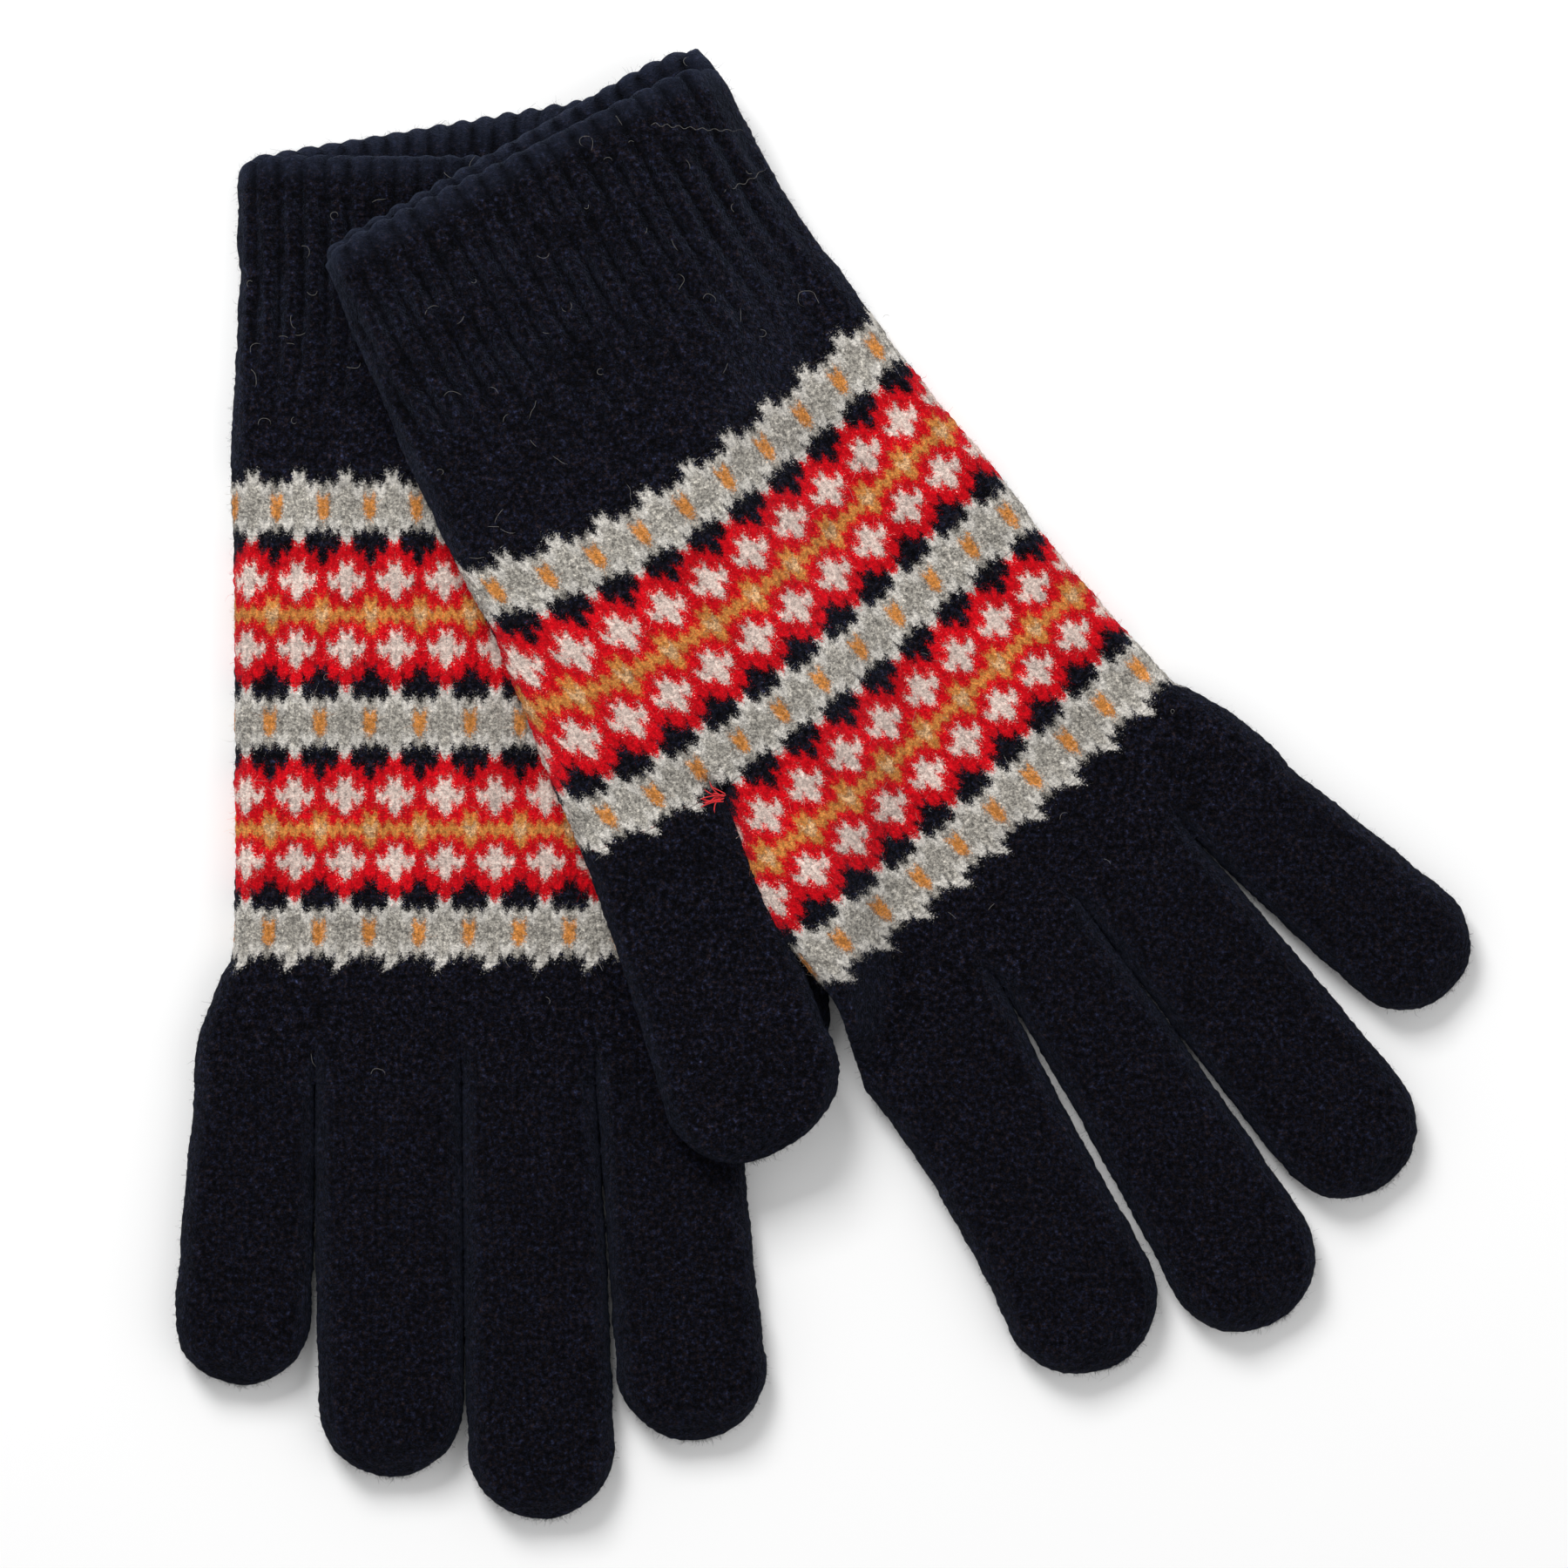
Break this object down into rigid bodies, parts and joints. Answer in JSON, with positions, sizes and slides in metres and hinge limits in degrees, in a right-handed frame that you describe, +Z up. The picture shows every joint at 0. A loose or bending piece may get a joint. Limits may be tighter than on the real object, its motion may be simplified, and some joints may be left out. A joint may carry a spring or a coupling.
{
  "type": "knitted gloves",
  "caption": "Pair of knitted wool gloves with ribbed cuffs and patterned bands, laid one across the other, with fingers and thumb that fold.",
  "frame": {"origin": "on the table, under the middle of the pair's bounding box", "axes": "+Z up from the table through the backs of the gloves, the lower glove's fingers point to -Y and its thumb side is +X"},
  "size_m": [0.237, 0.2653, 0.02],
  "materials": {
    "navy_wool": "felted navy heather wool, ribbed at the cuffs",
    "grey_wool": "grey marl wool with off-white and ochre stitches",
    "red_wool": "red wool with cream crosses, ochre and navy stitches"
  },
  "bodies": {
    "right_glove": {"right_cuff": "navy_wool", "right_lower_grey_band": "grey_wool", "right_lower_red_band": "red_wool", "right_middle_grey_band": "grey_wool", "right_upper_red_band": "red_wool", "right_upper_grey_band": "grey_wool", "right_knuckles": "navy_wool", "right_index_base": "navy_wool", "right_thumb": "navy_wool"},
    "right_little": {"right_little_finger": "navy_wool"},
    "right_ring": {"right_ring_finger": "navy_wool"},
    "right_middle": {"right_middle_finger": "navy_wool"},
    "right_index": {"right_index_end": "navy_wool"},
    "left_glove": {"left_lower_grey_band": "grey_wool", "left_lower_red_band": "red_wool", "left_middle_grey_band": "grey_wool", "left_upper_red_band": "red_wool", "left_upper_grey_band": "grey_wool", "left_knuckles": "navy_wool"},
    "left_wrist": {"left_cuff": "navy_wool"},
    "left_index": {"left_index_finger": "navy_wool"},
    "left_middle": {"left_middle_finger": "navy_wool"},
    "left_ring": {"left_ring_finger": "navy_wool"},
    "left_little": {"left_little_finger": "navy_wool"},
    "left_thumb": {"left_thumb": "navy_wool"}
  },
  "joints": [
    {"name": "left_glove_lift", "type": "slide", "parent": "right_glove", "child": "left_glove", "axis": [0, 0, 1], "range_m": [0, 0.12]},
    {"name": "left_cuff_turn", "type": "hinge", "parent": "left_glove", "child": "left_wrist", "pos_m": [-0.02934, 0.06623, 0.0176], "axis": [0.848, 0.5299, 0], "range_deg": [0, 120]},
    {"name": "left_index_bend", "type": "hinge", "parent": "left_glove", "child": "left_index", "pos_m": [0.02061, -0.04468, 0.0086], "axis": [-0.7912, -0.6115, 0], "range_deg": [0, 90]},
    {"name": "left_middle_bend", "type": "hinge", "parent": "left_glove", "child": "left_middle", "pos_m": [0.04134, -0.02865, 0.0086], "axis": [-0.7912, -0.6115, 0], "range_deg": [0, 90]},
    {"name": "left_ring_bend", "type": "hinge", "parent": "left_glove", "child": "left_ring", "pos_m": [0.05883, -0.01514, 0.0086], "axis": [-0.7912, -0.6115, 0], "range_deg": [0, 90]},
    {"name": "left_little_bend", "type": "hinge", "parent": "left_glove", "child": "left_little", "pos_m": [0.07687, -0.0012, 0.0086], "axis": [-0.7912, -0.6115, 0], "range_deg": [0, 90]},
    {"name": "left_thumb_bend", "type": "hinge", "parent": "left_glove", "child": "left_thumb", "pos_m": [-0.03255, -0.0045, 0.0175], "axis": [-0.8161, -0.5779, 0], "range_deg": [0, 90]},
    {"name": "right_little_bend", "type": "hinge", "parent": "right_glove", "child": "right_little", "pos_m": [-0.10392, -0.05288, 0.0086], "axis": [-1, 0, 0], "range_deg": [0, 90]},
    {"name": "right_ring_bend", "type": "hinge", "parent": "right_glove", "child": "right_ring", "pos_m": [-0.07952, -0.05288, 0.0086], "axis": [-1, 0, 0], "range_deg": [0, 90]},
    {"name": "right_middle_bend", "type": "hinge", "parent": "right_glove", "child": "right_middle", "pos_m": [-0.05372, -0.05288, 0.0086], "axis": [-1, 0, 0], "range_deg": [0, 90]},
    {"name": "right_index_bend", "type": "hinge", "parent": "right_glove", "child": "right_index", "pos_m": [-0.02592, -0.07778, 0.0086], "axis": [-1, 0, 0], "range_deg": [0, 90]}
  ]
}
